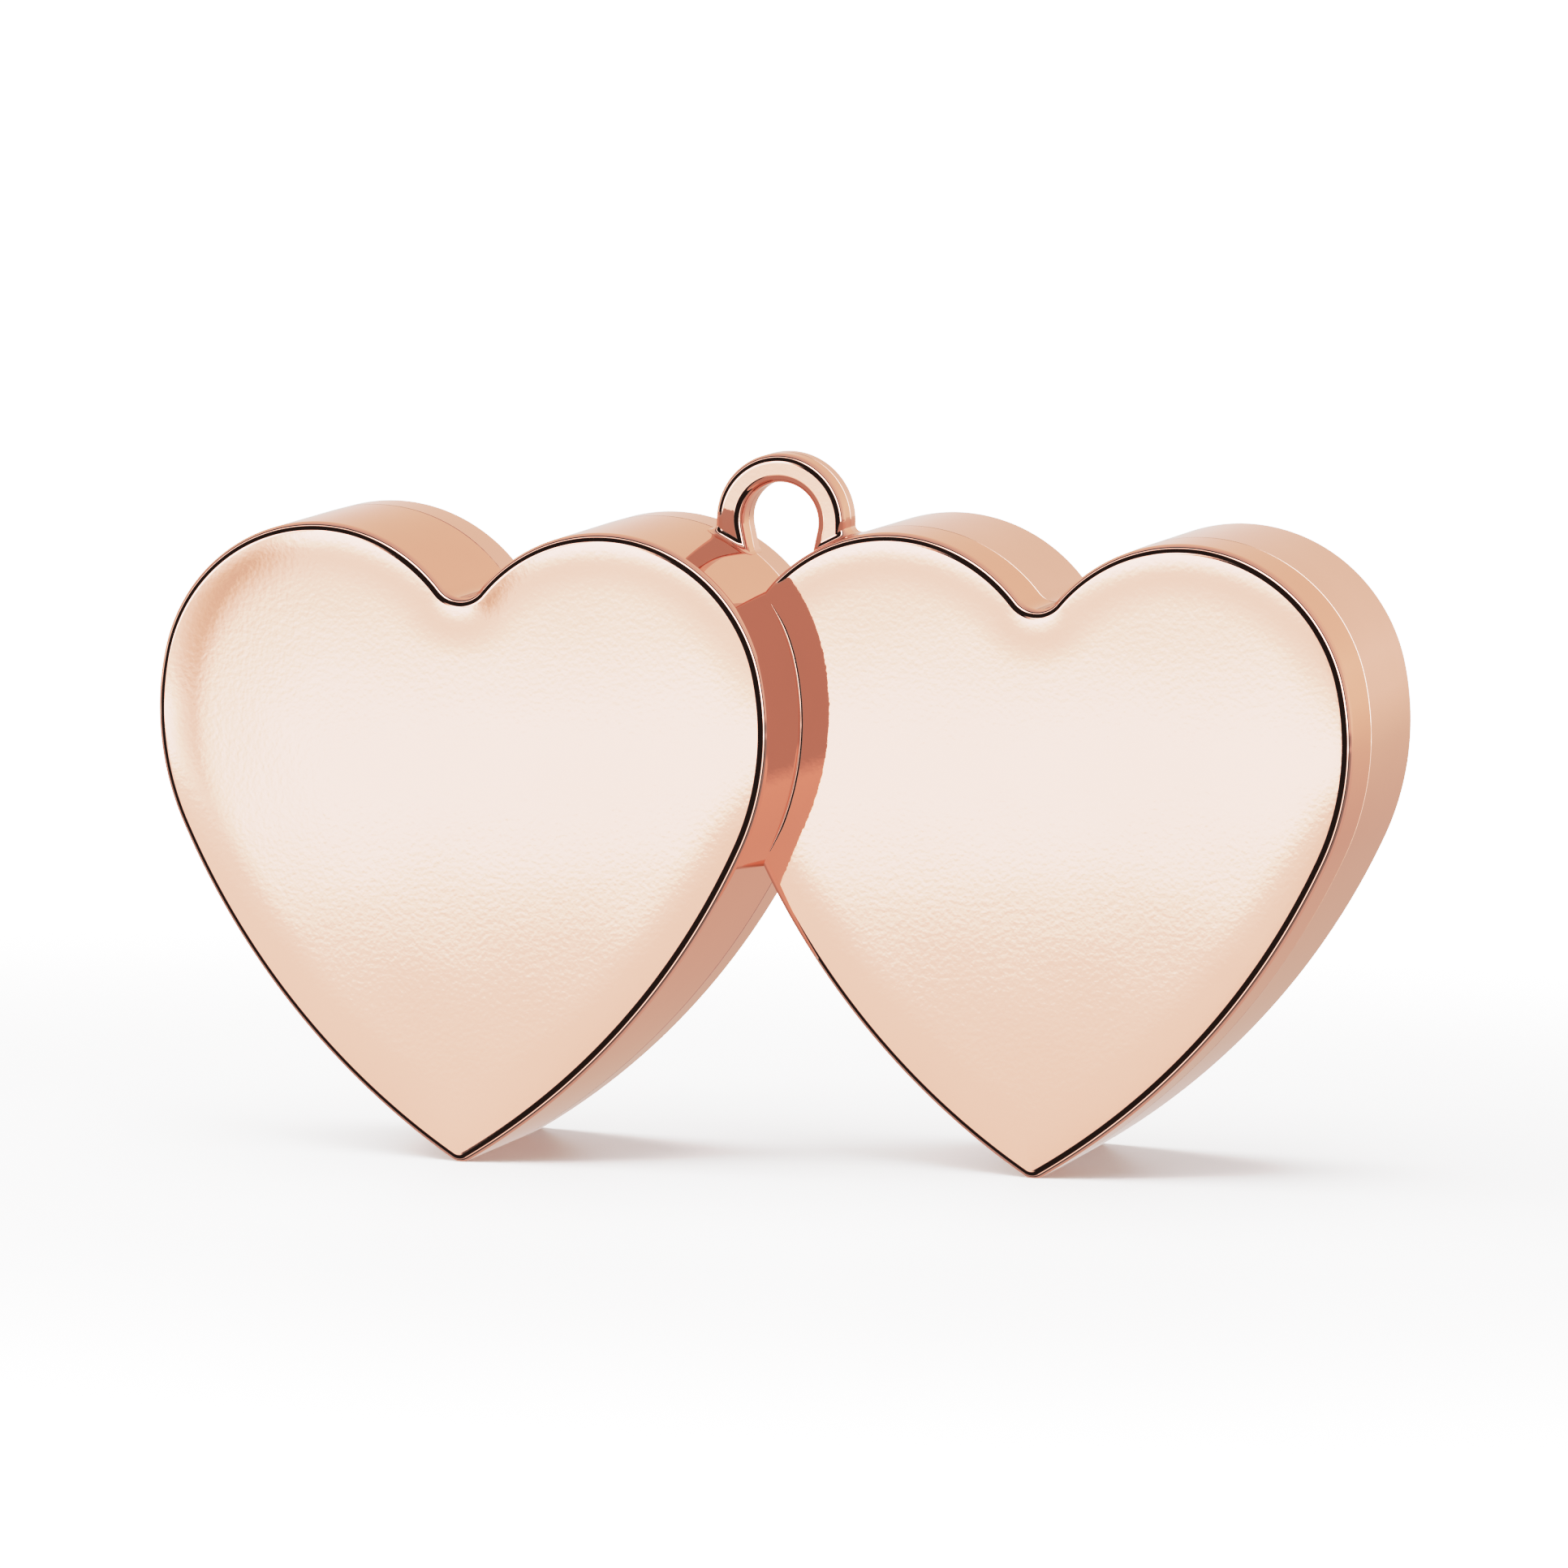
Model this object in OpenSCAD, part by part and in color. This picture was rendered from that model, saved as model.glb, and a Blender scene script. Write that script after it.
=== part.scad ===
// Twin-heart balloon weight: a glossy two-part plastic shell with a ribbon ring,
// filled with dry sand and closed by a push-in plug in its back.
// It stands on its two points. +X runs along the pair, the fronts face -Y, +Z is up,
// and the origin is under the middle of the pair, on the surface that it stands on.

/* [Hearts] */
// Width of one heart
heart_w = 64; // [53:1:77]
// How far the two hearts overlap sideways
overlap = 8; // [5:0.5:12]
// Front-to-back thickness of one heart
thickness = 23.2; // [19:0.2:30]
// How far the left heart stands in front of the right one
step = 10.2; // [8:0.2:12.4]
// Distance of the parting plane behind the front of the right heart
seam_depth = 7.2; // [6:0.1:9]

/* [Heart outline] */
// Radius of the outer side of each lobe
lobe_r = 27.5; // [24:0.5:30]
// Direction in which the lobe runs into its crown, in degrees above level
crown_end = 12.5; // [8:0.5:18]
// Radius of the long sides down to the point
side_r = 74.5; // [62:0.5:90]
// Direction in which the lobe runs into the long side, in degrees below level
side_start = 24.7; // [20:0.1:30]
// Radius of the cleft between the lobes
cleft_r = 2.4; // [1.5:0.1:3.5]
// Steepness of the cleft, in degrees: its arc turns this far short of upright
cleft_slope = 39.7; // [30:0.1:45]
// Radius of the point at the bottom
point_r = 1.8; // [1.5:0.1:2.5]
// Width of the flat under each point
foot_w = 1.6; // [1.2:0.1:2]

/* [Shells] */
// Wall thickness of both shells
wall = 1.8; // [1.4:0.1:2.4]
// Radius of the outer edges
edge_r = 1; // [0.6:0.1:1.2]
// Thickness of the tongue round the front shell's rim
tongue_t = 0.8; // [0.5:0.1:1]
// Height of the tongue
tongue_h = 1.4; // [1:0.1:2]
// Gap between pieces that slide into each other
fit_gap = 0.1; // [0.05:0.01:0.2]

/* [Locating pins] */
// Radius of the pins on the front shell
pin_r = 1.4; // [1:0.1:2]
// Length of the pins beyond the parting plane
pin_h = 2.6; // [2:0.1:3.2]
// Radius of the posts that carry the pins and of the bosses that take them
post_r = 2.8; // [2.4:0.1:3.6]
// Distance of the upper pins from the middle of their heart
pin_x = 13; // [9:0.5:15.5]
// Height of the upper pins
upper_pin_z = 44; // [36:0.5:46]
// Height of the lower pin
lower_pin_z = 17; // [14:0.5:22]

/* [Ribbon ring] */
// Radius of the eye that the ribbon goes through
eye_r = 3.85; // [3:0.05:4.6]
// Thickness of the ring, from the eye to its outside
ring_t = 2.85; // [2.2:0.05:3.4]
// Front-to-back depth of the ring
ring_d = 4.6; // [3.6:0.1:5.6]
// Radius of the ring's edges
ring_edge = 0.9; // [0.5:0.05:1]
// Height of the eye's centre above the dip between the hearts
ring_rise = 6.4; // [5.4:0.1:7.6]
// Inward lean of the legs inside, in degrees
leg_lean = 12; // [6:1:16]

/* [Filling] */
// Height that the sand fills the shell to
sand_z = 52; // [40:1:56]
// Gap between the sand and the walls
sand_gap = 0.1; // [0.05:0.01:0.3]
// Radius of the filling hole
hole_r = 5; // [4:0.1:6]
// Radius of the plug's head
head_r = 6.8; // [6:0.1:7.8]
// Thickness of the plug's head, which sits flush in the back
head_t = 1; // [0.8:0.1:1.2]
// Length of the collar inside the filling hole, from the back face
collar_h = 5; // [4:0.5:7]
// Wall of the collar
collar_t = 1.6; // [1.2:0.1:2]
// Wall of the hollow plug
plug_t = 1.2; // [1:0.1:1.6]
// Height of the filling hole's centre
hole_z = 36; // [28:1:40]

/* [Hidden] */
$fn = 64;
// a little extra, so that cuts run past the faces they open
past = 1;
// two points of an outline that are closer than this are one point
d_min = 0.001;

// where the two hearts stand, and their front and back faces
heart_x = heart_w / 2 - overlap / 2;
left_front = -(thickness + step) / 2;
right_front = left_front + step;
left_back = left_front + thickness;
right_back = right_front + thickness;
seam_y = right_front + seam_depth;
// [middle, front face, back face] of each heart
HEARTS = [[-heart_x, left_front, left_back], [heart_x, right_front, right_back]];

// centres of the outline's arcs, for the half at +x; the crown's radius is the one
// that meets both the lobe and the cleft without a corner
lobe_x = heart_w / 2 - lobe_r;
side_x = lobe_x - (side_r - lobe_r) * cos(side_start);
// the sides run into the point at this steepness, and the point ends in its flat, just
// past there if steep sides leave less than the flat's width
side_end = acos(-side_x / (side_r - point_r));
point_z = point_r * sin(max(acos(foot_w / 2 / point_r), side_end + 1));
side_z = point_z + sqrt(pow(side_r - point_r, 2) - side_x * side_x);
lobe_z = side_z - (side_r - lobe_r) * sin(side_start);
crown_r = (lobe_x + lobe_r * cos(crown_end) - cleft_r * cos(cleft_slope))
    / (cos(crown_end) + cos(cleft_slope));
crown_x = lobe_x + (lobe_r - crown_r) * cos(crown_end);
crown_z = lobe_z + (lobe_r - crown_r) * sin(crown_end);
cleft_z = crown_z + (crown_r + cleft_r) * sin(cleft_slope);
// the dip where the hearts' crowns cross, and the ring's centre above it
dip_z = crown_z + sqrt(crown_r * crown_r - pow(heart_x - crown_x, 2));
ring_z = dip_z + ring_rise;
ring_r = eye_r + ring_t;
// the legs go this far below the ring's centre, into the hearts
leg_h = ring_rise + wall;

// [from the middle of the heart, height] of each pin
PINS = [[-pin_x, upper_pin_z], [pin_x, upper_pin_z], [0, lower_pin_z]];

function arc(cx, cz, r, a0, a1, n) =
    [for (i = [0:n]) let (a = a0 + (a1 - a0) * i / n) [cx + r * cos(a), cz + r * sin(a)]];
function tail(list) = [for (i = [1:len(list) - 1]) list[i]];
function back_to_front(list) = [for (i = [len(list) - 1:-1:0]) list[i]];

// one half of the outline, from the cleft round to the point, set in by d: every arc
// keeps its centre, so the set-in outline stays d away from the full one all round
function half_outline(d) = let (
    tip_r = max(point_r - d, 0),
    tip_z = side_z - sqrt(pow(side_r - d - tip_r, 2) - side_x * side_x),
    tip_a = atan2(tip_z - side_z, -side_x),
    // the point ends in its flat or, where it is clear of the ground, just short of its lowest
    tip_end = tip_r > 0 ? -asin(min(tip_z / tip_r, sin(87))) : 0
) concat(
    arc(0, cleft_z, cleft_r + d, -90, -cleft_slope, 5),
    tail(arc(crown_x, crown_z, crown_r - d, 180 - cleft_slope, crown_end, 18)),
    tail(arc(lobe_x, lobe_z, lobe_r - d, crown_end, -side_start, 8)),
    tail(arc(side_x, side_z, side_r - d, -side_start, tip_a, 10)),
    tip_r > 0 ? tail(arc(0, tip_z, tip_r, tip_a, tip_end, 4)) : []
);
// the whole outline, with each point off the middle mirrored
function outline(d) = let (half = half_outline(d)) concat(
    half,
    [for (i = [len(half) - 1:-1:1]) if (half[i][0] > d_min) [-half[i][0], half[i][1]]]
);

// a solid through a stack of loops that all have the same number of points
module loft(loops) {
    n = len(loops[0]);
    last = len(loops) - 1;
    polyhedron(
        points = [for (loop = loops) each loop],
        faces = concat(
            [[for (i = [n - 1:-1:0]) i]],
            [[for (i = [0:n - 1]) last * n + i]],
            [for (k = [0:last - 1], i = [0:n - 1])
                [k * n + i, k * n + (i + 1) % n, (k + 1) * n + (i + 1) % n, (k + 1) * n + i]]
        )
    );
}

// [y, set-in] of the loops that round the edge of a face; side is -1 for a front face
function round_levels(face_y, side) = [for (i = [0:4]) let (a = i * 22.5)
    [face_y - side * edge_r * (1 - sin(a)), edge_r * (1 - cos(a))]];
// the outside of one whole heart, from its back to its front
module heart_outside(heart) {
    levels = concat(back_to_front(round_levels(heart[2], 1)), round_levels(heart[1], -1));
    loft([for (level = levels)
        [for (p = outline(level[1])) [heart[0] + p[0], level[0], p[1]]]]);
}

// both hearts' outline, set in by d, between two planes
module slab(d, y0, y1) {
    for (h = HEARTS) heart_slab(d, h[0], y0, y1);
}
module heart_slab(d, cx, y0, y1) {
    translate([cx, y1, 0]) rotate([90, 0, 0]) linear_extrude(y1 - y0) polygon(outline(d));
}
// a round bar along Y
module bar(cx, cz, r, y0, y1) {
    translate([cx, y1, cz]) rotate([90, 0, 0]) cylinder(h = y1 - y0, r = r);
}

// the ring's section, between the eye at x and the outside at ring_r
function ring_section(x) = concat(
    arc(ring_r - ring_edge, ring_d / 2 - ring_edge, ring_edge, 0, 90, 5),
    arc(x + ring_edge, ring_d / 2 - ring_edge, ring_edge, 90, 180, 5),
    arc(x + ring_edge, ring_edge - ring_d / 2, ring_edge, 180, 270, 5),
    arc(ring_r - ring_edge, ring_edge - ring_d / 2, ring_edge, 270, 360, 5)
);
// how far inside the leg is from the middle, at a depth below the ring's centre
function leg_x(h) = let (turn = eye_r * sin(leg_lean))
    h < turn ? sqrt(eye_r * eye_r - h * h)
             : eye_r * cos(leg_lean) - (h - turn) * tan(leg_lean);

module ribbon_ring() {
    leg = [for (h = [0, 0.3, 0.6, eye_r * sin(leg_lean), leg_h]) h];
    translate([0, seam_y, ring_z]) {
        rotate([90, 0, 0]) rotate_extrude(angle = 180) polygon(ring_section(eye_r));
        for (m = [0, 1]) mirror([m, 0, 0])
            loft([for (h = leg) [for (p = ring_section(leg_x(h))) [p[0], p[1], -h]]]);
    }
}
// everything in front of the parting plane or, with side 1, behind it
module half_space(side) {
    size = 4 * heart_w;
    translate([-size / 2, side > 0 ? seam_y : seam_y - size, -size / 2]) cube(size);
}

module shell_body(side) difference() {
    union() {
        for (h = HEARTS) intersection() {
            heart_outside(h);
            half_space(side);
        }
        intersection() {
            ribbon_ring();
            half_space(side);
        }
    }
    for (h = HEARTS) {
        if (side > 0) heart_slab(wall, h[0], seam_y - past, h[2] - wall);
        else heart_slab(wall, h[0], h[1] + wall, seam_y + past);
    }
}

module front_shell() color("#e3b49c") {
    shell_body(-1);
    // the tongue is the inner part of the wall, carried on past the parting plane
    difference() {
        slab(wall - tongue_t, seam_y - past, seam_y + tongue_h);
        slab(wall, seam_y - 2 * past, seam_y + tongue_h + past);
    }
    for (h = HEARTS, p = PINS) {
        bar(h[0] + p[0], p[1], post_r, h[1] + wall / 2, seam_y);
        bar(h[0] + p[0], p[1], pin_r, h[1] + wall / 2, seam_y + pin_h);
    }
}

module rear_shell() color("#dca98f") difference() {
    union() {
        difference() {
            shell_body(1);
            // rebate for the tongue
            slab(wall - tongue_t - fit_gap, seam_y - past, seam_y + tongue_h + fit_gap);
        }
        for (h = HEARTS, p = PINS) bar(h[0] + p[0], p[1], post_r, seam_y, h[2] - wall / 2);
        bar(heart_x, hole_z, hole_r + collar_t, right_back - collar_h, right_back - wall / 2);
    }
    for (h = HEARTS, p = PINS)
        bar(h[0] + p[0], p[1], pin_r + fit_gap, seam_y - past, seam_y + pin_h + fit_gap);
    bar(heart_x, hole_z, hole_r, right_back - collar_h - past, right_back + past);
    bar(heart_x, hole_z, head_r + fit_gap, right_back - head_t, right_back + past);
}

// loose sand, settled to a level, round the posts and the collar
module sand_filling() color("#cdb48a") difference() {
    for (h = HEARTS)
        heart_slab(wall + sand_gap, h[0], h[1] + wall + sand_gap, h[2] - wall - sand_gap);
    translate([-heart_w, left_front, sand_z]) cube([2 * heart_w, thickness + step, heart_w]);
    for (h = HEARTS, p = PINS) bar(h[0] + p[0], p[1], post_r + sand_gap, h[1], h[2]);
    bar(heart_x, hole_z, hole_r + collar_t + sand_gap, right_back - collar_h - sand_gap, right_back);
}

// a hollow push-in plug, its head flush with the back
module filling_plug() color("#d8b3a0") {
    stem_r = hole_r - fit_gap;
    stem_h = collar_h - plug_t / 2;
    lead_in = plug_t / 2;
    crown_h = head_t + plug_t / 2;
    translate([heart_x, right_back, hole_z]) rotate([90, 0, 0]) rotate_extrude() polygon([
        [0, 0], [head_r, 0], [head_r, head_t], [stem_r, head_t],
        [stem_r, stem_h - lead_in], [stem_r - lead_in, stem_h], [stem_r - plug_t, stem_h],
        [stem_r - plug_t, crown_h], [0, crown_h]
    ]);
}

front_shell();
rear_shell();
sand_filling();
filling_plug();
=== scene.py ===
"""Twin-heart balloon weight: two metallised shells, a ribbon ring, sand and a plug."""
import math

import bmesh
import bpy
from bpy.props import FloatProperty, FloatVectorProperty, PointerProperty
from bpy.types import Operator, Panel, PropertyGroup
from mathutils import Matrix, Vector
from mathutils.bvhtree import BVHTree


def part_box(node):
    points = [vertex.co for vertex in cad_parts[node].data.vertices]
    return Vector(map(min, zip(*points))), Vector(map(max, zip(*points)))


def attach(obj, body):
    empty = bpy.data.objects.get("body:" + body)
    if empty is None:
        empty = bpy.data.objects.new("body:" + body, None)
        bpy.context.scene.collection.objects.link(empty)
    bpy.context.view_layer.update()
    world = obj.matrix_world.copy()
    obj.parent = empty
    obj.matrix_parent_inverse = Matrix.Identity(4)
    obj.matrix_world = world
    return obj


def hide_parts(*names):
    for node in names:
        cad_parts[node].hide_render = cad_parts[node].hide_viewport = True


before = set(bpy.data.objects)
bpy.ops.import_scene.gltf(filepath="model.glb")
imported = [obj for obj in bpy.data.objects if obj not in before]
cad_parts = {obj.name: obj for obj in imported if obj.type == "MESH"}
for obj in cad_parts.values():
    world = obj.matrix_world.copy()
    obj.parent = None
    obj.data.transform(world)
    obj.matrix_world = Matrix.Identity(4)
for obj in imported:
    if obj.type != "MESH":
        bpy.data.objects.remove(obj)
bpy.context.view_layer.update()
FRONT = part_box("front_shell")
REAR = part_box("rear_shell")
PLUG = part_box("filling_plug")

bl_info = {
    "name": "Twin-Heart Balloon Weight",
    "version": (1, 0, 0),
    "blender": (4, 5, 0),
    "location": "3D View > Sidebar > Heart Weight",
    "description": "Builds a metallised twin-heart balloon weight on its packed frame",
    "category": "Object",
}

MM = 0.001
# which surface a face came from, kept as its material index while the solids are joined
LEFT, RIGHT, RING, FILLET, CORNER, BARE = range(6)


# ---------------------------------------------------------------- sizes and finishes

def length(name, description, default_mm):
    return FloatProperty(name=name, description=description, default=default_mm * MM,
                         min=0.0, subtype="DISTANCE", unit="LENGTH", precision=5)


def angle(name, description, degrees):
    return FloatProperty(name=name, description=description, default=math.radians(degrees),
                         subtype="ANGLE", unit="ROTATION")


def colour(name, description, rgb):
    return FloatVectorProperty(name=name, description=description, default=rgb, size=3,
                               min=0.0, max=1.0, subtype="COLOR")


def factor(name, description, default):
    return FloatProperty(name=name, description=description, default=default, min=0.0,
                         max=1.0, subtype="FACTOR")


def power(name, description, watts):
    return FloatProperty(name=name, description=description, default=watts, min=0.0,
                         subtype="POWER", unit="POWER")


class WeightSizes(PropertyGroup):
    """Sizes of the hearts and the ring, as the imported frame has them."""
    heart_w: length("Heart Width", "Width of one heart", 64)
    overlap: length("Overlap", "How far the hearts overlap sideways", 8)
    stagger: length("Stagger", "How far the left heart stands in front", 10.2)
    lobe_r: length("Lobe Radius", "Radius of the outer side of each lobe", 27.5)
    crown_end: angle("Crown End", "Direction in which the crown runs into the lobe", 12.5)
    side_r: length("Side Radius", "Radius of the long sides", 74.5)
    side_start: angle("Side Start", "Direction below level in which the side starts", 24.7)
    cleft_r: length("Cleft Radius", "Radius of the cleft", 2.4)
    cleft_slope: angle("Cleft Slope", "Steepness of the cleft", 39.7)
    point_r: length("Point Radius", "Radius of the point at the bottom", 1.8)
    foot_w: length("Foot Width", "Width of the flat under each point", 1.6)
    wall: length("Wall", "Wall thickness", 1.8)
    edge_r: length("Edge Radius", "Radius of the outer edges", 1.0)
    draft: angle("Draft", "Draft of the walls away from the parting line", 0.35)
    crown_slope: angle("Face Slope", "Slope of the face where it meets the edge", 2.1)
    crown_w: length("Face Crown", "Width of the band in which the face bends", 5.5)
    lip: length("Lip", "How far the parting line's lips are set in", 0.012)
    groove: length("Groove", "Depth of the parting line", 0.08)
    groove_w: length("Groove Width", "Half the width of the parting line", 0.055)
    eye_r: length("Eye Radius", "Radius of the ring's eye", 3.85)
    ring_t: length("Ring Thickness", "From the eye to the ring's outside", 2.85)
    ring_d: length("Ring Depth", "Front-to-back depth of the ring", 4.6)
    ring_edge: length("Ring Edge", "Radius of the ring's edges", 0.9)
    leg_lean: angle("Leg Lean", "Inward lean of the legs inside", 12)
    fillet_r: length("Foot Fillet", "Radius of the fillet at the ring's feet", 0.7)
    corner_r: length("Corner Fillet", "Radius where one heart's wall meets the other's face",
                     0.32)
    pin_r: length("Pin Radius", "Radius of the locating pins", 1.4)
    pin_h: length("Pin Height", "Height of the pins past the parting line", 2.6)
    post_r: length("Post Radius", "Radius of the posts and bosses", 2.8)
    pin_x: length("Pin Distance", "Upper pins from the middle of their heart", 13)
    upper_pin_z: length("Upper Pin Height", "Height of the upper pins", 44)
    lower_pin_z: length("Lower Pin Height", "Height of the lower pin", 17)
    tongue_t: length("Tongue", "Thickness of the tongue round the front rim", 0.8)
    tongue_h: length("Tongue Height", "Height of the tongue", 1.4)
    fit_gap: length("Fit Gap", "Gap between pieces that slide together", 0.1)
    hole_r: length("Filling Hole", "Radius of the filling hole", 5)
    collar_t: length("Collar Wall", "Wall of the collar round the hole", 1.6)
    collar_h: length("Collar Length", "Length of the collar from the back face", 5)


class WeightFinish(PropertyGroup):
    """Colours and gloss of the metallised skin, the bare plastic, the plug and the sand."""
    front_gold: colour("Front Rose Gold", "Colour of the front shell's skin",
                       (0.95, 0.535, 0.42))
    # painted reflection: the rear skin is paler only to stand in for the lighter reflection that
    # the rear walls, drafted the other way from the parting line, show behind it
    rear_gold_painted_reflection: colour("Rear Rose Gold", "Colour of the rear shell's skin, a little paler",
                      (0.94, 0.59, 0.50))
    gloss: factor("Skin Roughness", "Roughness of the metallised skin", 0.03)
    peel: length("Peel Height", "Height of the lacquer's orange peel", 0.0019)
    bare: colour("Bare Plastic", "Colour of the moulded plastic inside", (0.62, 0.40, 0.31))
    plug: colour("Plug", "Colour of the plug", (0.27, 0.145, 0.105))
    sand: colour("Sand", "Colour of the sand", (0.56, 0.42, 0.25))
    sand_dark: colour("Dark Grains", "Colour of the darker grains", (0.22, 0.14, 0.07))


class WeightStage(PropertyGroup):
    """Camera, light and floor."""
    azimuth: angle("Azimuth", "Camera angle to the right of the front", 18.41)
    elevation: angle("Elevation", "Camera angle above the floor", 7.424)
    roll: angle("Roll", "Camera roll", 0.303)
    distance: length("Distance", "Camera to aim point", 1030)
    lens: FloatProperty(name="Lens", description="Focal length in millimetres",
                        default=240.7, min=1.0)
    aim: FloatVectorProperty(name="Aim", description="Point that the camera looks at",
                             default=(2.314 * MM, -6.5 * MM, 37.8 * MM), size=3,
                             subtype="TRANSLATION", unit="LENGTH")
    floor: colour("Floor", "Colour of the floor", (0.86, 0.86, 0.86))
    backdrop: FloatProperty(name="Backdrop", description="Brightness of the background",
                            default=4.2, min=0.0)
    overhead: power("Overhead Light", "Power of the light above", 92.0)
    fill: power("Fill Light", "Power of the light at the front left", 18.0)


# ---------------------------------------------------------------- outline and profile

class Plan:
    """Everything that follows from the sizes: places, centres of arcs and depths."""

    def __init__(self, s):
        self.s = s
        self.heart_x = s.heart_w / 2 - s.overlap / 2
        self.seam_y = REAR[0].y
        thickness = (REAR[1].y - FRONT[0].y) - s.stagger
        self.hearts = [(-self.heart_x, FRONT[0].y, FRONT[0].y + thickness),
                       (self.heart_x, REAR[1].y - thickness, REAR[1].y)]
        self.point_z = math.sqrt(s.point_r ** 2 - s.foot_w ** 2 / 4)
        self.lobe_x = s.heart_w / 2 - s.lobe_r
        reach = s.side_r - s.lobe_r
        self.side_x = self.lobe_x - reach * math.cos(s.side_start)
        self.side_z = self.point_z + math.sqrt((s.side_r - s.point_r) ** 2 - self.side_x ** 2)
        self.lobe_z = self.side_z - reach * math.sin(s.side_start)
        self.crown_r = ((self.lobe_x + s.lobe_r * math.cos(s.crown_end)
                         - s.cleft_r * math.cos(s.cleft_slope))
                        / (math.cos(s.crown_end) + math.cos(s.cleft_slope)))
        self.crown_x = self.lobe_x + (s.lobe_r - self.crown_r) * math.cos(s.crown_end)
        self.crown_z = self.lobe_z + (s.lobe_r - self.crown_r) * math.sin(s.crown_end)
        self.cleft_z = self.crown_z + (self.crown_r + s.cleft_r) * math.sin(s.cleft_slope)
        self.ring_r = s.eye_r + s.ring_t
        self.ring_z = FRONT[1].z - self.ring_r
        self.crown_off = self.heart_x - self.crown_x
        self.pins = [(-s.pin_x, s.upper_pin_z), (s.pin_x, s.upper_pin_z), (0, s.lower_pin_z)]

    def outline(self, d, fine=1.0):
        """Points (x, z, nx, nz) round the heart, set in by d, from the cleft clockwise."""
        s = self.s
        tip_r = max(s.point_r - d, 0.0)
        tip_z = self.side_z - math.sqrt((s.side_r - d - tip_r) ** 2 - self.side_x ** 2)
        tip_a = math.atan2(tip_z - self.side_z, -self.side_x)
        # the round of the point ends in its flat, or just short of straight down
        most = math.radians(87)
        tip_end = -most if tip_r * math.sin(most) <= tip_z else -math.asin(tip_z / tip_r)
        half = []

        def arc(cx, cz, r, a0, a1, n, side=1, skip=1):
            n = max(2, round(n * fine))
            for i in range(skip, n + 1):
                a = a0 + (a1 - a0) * i / n
                c, z = math.cos(a), math.sin(a)
                half.append((cx + r * c, cz + r * z, side * c, side * z))

        arc(0, self.cleft_z, s.cleft_r + d, -math.pi / 2, -s.cleft_slope, 12, -1, 0)
        arc(self.crown_x, self.crown_z, self.crown_r - d, math.pi - s.cleft_slope,
            s.crown_end, 84)
        arc(self.lobe_x, self.lobe_z, s.lobe_r - d, s.crown_end, -s.side_start, 40)
        arc(self.side_x, self.side_z, s.side_r - d, -s.side_start, tip_a, 60)
        arc(0, tip_z, tip_r, tip_a, tip_end, 16)
        return half + [(-x, z, -nx, nz) for x, z, nx, nz in reversed(half[1:])]

    def levels(self, depth, side):
        """Levels (y, set-in, wall share of the normal, share along y) from the parting
        line to the middle of a face."""
        s = self.s
        t = math.tan(s.draft)
        wall_n = (math.cos(s.draft), side * math.sin(s.draft))
        out = [(0.0, s.lip + s.groove, 1.0, 0.0), (s.groove_w, s.lip, *wall_n)]
        drop = s.crown_slope * s.crown_w / 3
        turn = depth - drop - s.edge_r
        # a row of points close to each end of the wall keeps it straight
        for k in (0.02, 0.98, 1.0):
            h = s.groove_w + (turn - s.groove_w) * k
            out.append((h, s.lip + t * h, *wall_n))
        d_mid = s.lip + t * turn + s.edge_r * math.cos(s.draft)
        last = math.pi / 2 - s.crown_slope
        steps = 14
        for i in range(1, steps + 1):
            a = s.draft + (last - s.draft) * i / steps
            out.append((turn + s.edge_r * math.sin(a), d_mid - s.edge_r * math.cos(a),
                        math.cos(a), side * math.sin(a)))
        h0, d0 = out[-1][0], out[-1][1]
        bands = 12
        for i in range(1, bands + 1):
            u = i / bands
            slope = s.crown_slope * (1 - u) ** 2
            h = h0 + (depth - h0) * (1 - (1 - u) ** 3)
            out.append((h, d0 + s.crown_w * u, math.sin(slope), side * math.cos(slope)))
        return [(self.seam_y + side * h, d, nd, ny) for h, d, nd, ny in out]


# ---------------------------------------------------------------- mesh helpers

def bands(rows, n, wrap=False, inner=False):
    """Faces that join each of the rows of n points to the next, and with wrap the last to
    the first. Rows that run along the inside of a hollow are joined the other way round."""
    faces = []
    for k in range(rows if wrap else rows - 1):
        a, b = k * n, (k + 1) % rows * n
        for i in range(n):
            j = (i + 1) % n
            faces.append((a + i, b + i, b + j, a + j) if inner
                         else (a + i, a + j, b + j, b + i))
    return faces


def caps(count, n):
    """The end faces of rows of n points, count points in all."""
    return [tuple(range(n)), tuple(range(count - 1, count - n - 1, -1))]


def new_object(name, verts, faces, tag):
    mesh = bpy.data.meshes.new(name)
    mesh.from_pydata([tuple(v) for v in verts], [], faces)
    for _ in range(6):
        mesh.materials.append(None)
    mesh.polygons.foreach_set("material_index", [tag] * len(mesh.polygons))
    obj = bpy.data.objects.new(name, mesh)
    bpy.context.scene.collection.objects.link(obj)
    return obj


def merge(obj):
    """Joins points that share a place, such as the ones at a sharp point."""
    same_place = 1e-7
    bm = bmesh.new()
    bm.from_mesh(obj.data)
    bmesh.ops.remove_doubles(bm, verts=bm.verts, dist=same_place)
    bmesh.ops.dissolve_degenerate(bm, edges=bm.edges, dist=same_place)
    bmesh.ops.recalc_face_normals(bm, faces=bm.faces)
    bm.to_mesh(obj.data)
    bm.free()
    return obj


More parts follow.
